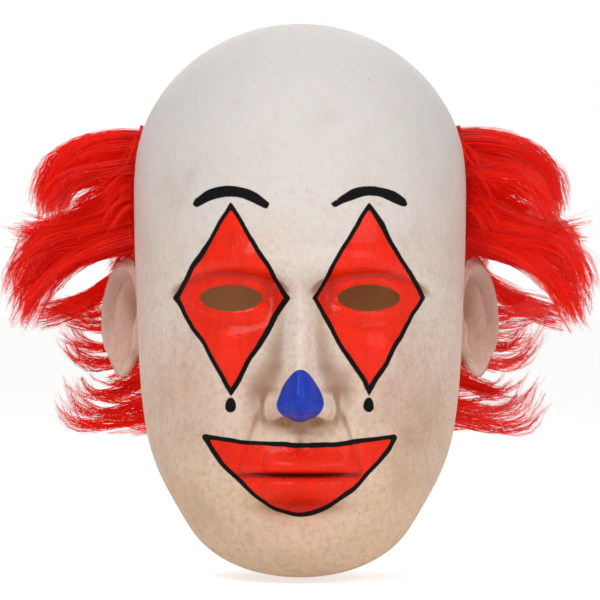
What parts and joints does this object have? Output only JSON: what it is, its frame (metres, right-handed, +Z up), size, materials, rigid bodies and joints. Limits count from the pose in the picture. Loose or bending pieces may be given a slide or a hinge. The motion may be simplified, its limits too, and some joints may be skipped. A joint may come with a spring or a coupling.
{
  "type": "full-head clown mask",
  "caption": "Full-head pull-over clown mask: bald latex head with calm face, ears, open eye holes and neck, and a red hair tuft on each side.",
  "frame": {"origin": "the point inside the crown where the mask sits on the top of the wearer's head", "axes": "+Z up along the head, the face looks along -Y, +X to the right of a viewer in front"},
  "size_m": [0.302, 0.2416, 0.2878],
  "materials": {
    "latex_white": "off-white painted latex, satin, airbrushed in warm tones",
    "hair_red": "bright red synthetic hair, glossy strands"
  },
  "bodies": {
    "root": {"mask_shell": "latex_white", "hair_tuft_right": "hair_red", "hair_tuft_left": "hair_red"}
  },
  "joints": []
}
